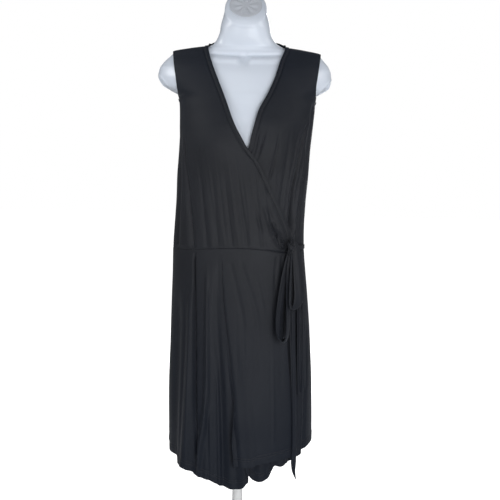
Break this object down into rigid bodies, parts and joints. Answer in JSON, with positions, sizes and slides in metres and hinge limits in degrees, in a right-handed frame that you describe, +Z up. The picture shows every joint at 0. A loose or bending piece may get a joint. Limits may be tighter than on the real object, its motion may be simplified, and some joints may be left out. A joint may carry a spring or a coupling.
{
  "type": "wrap dress on a limbless dress form",
  "caption": "Sleeveless knee-length wrap dress in thin jersey, tied with a bow at the left waist, worn by a plain limbless dress form on a pole stand.",
  "frame": {"origin": "centre of the underside of the stand's round base, on the floor", "axes": "+Z up along the pole; the front of the dress faces -Y and the wearer's left is +X"},
  "size_m": [0.416, 0.3248, 1.3339],
  "materials": {
    "jersey": "thin, soft, plain jersey knit with a low sheen, charcoal black with a cool cast",
    "form_skin": "smooth, satin white shell",
    "cap_grey": "flat, pale grey neck plate",
    "stand_white": "smooth white paint"
  },
  "bodies": {
    "root": {"bodice_front_right": "jersey", "bodice_front_left": "jersey", "bodice_back": "jersey", "neck_band_right": "jersey", "neck_band_left": "jersey", "neck_band_back": "jersey", "armhole_band_right": "jersey", "armhole_band_left": "jersey", "skirt_front_right": "jersey", "skirt_front_left": "jersey", "skirt_back": "jersey", "tie_knot": "jersey", "tie_loop_long": "jersey", "tie_loop_short": "jersey", "tie_tail_long": "jersey", "tie_tail_short": "jersey", "tie_side": "jersey", "form_torso": "form_skin", "form_neck_cap": "cap_grey", "stand_base": "stand_white", "stand_pole": "stand_white"}
  },
  "joints": []
}
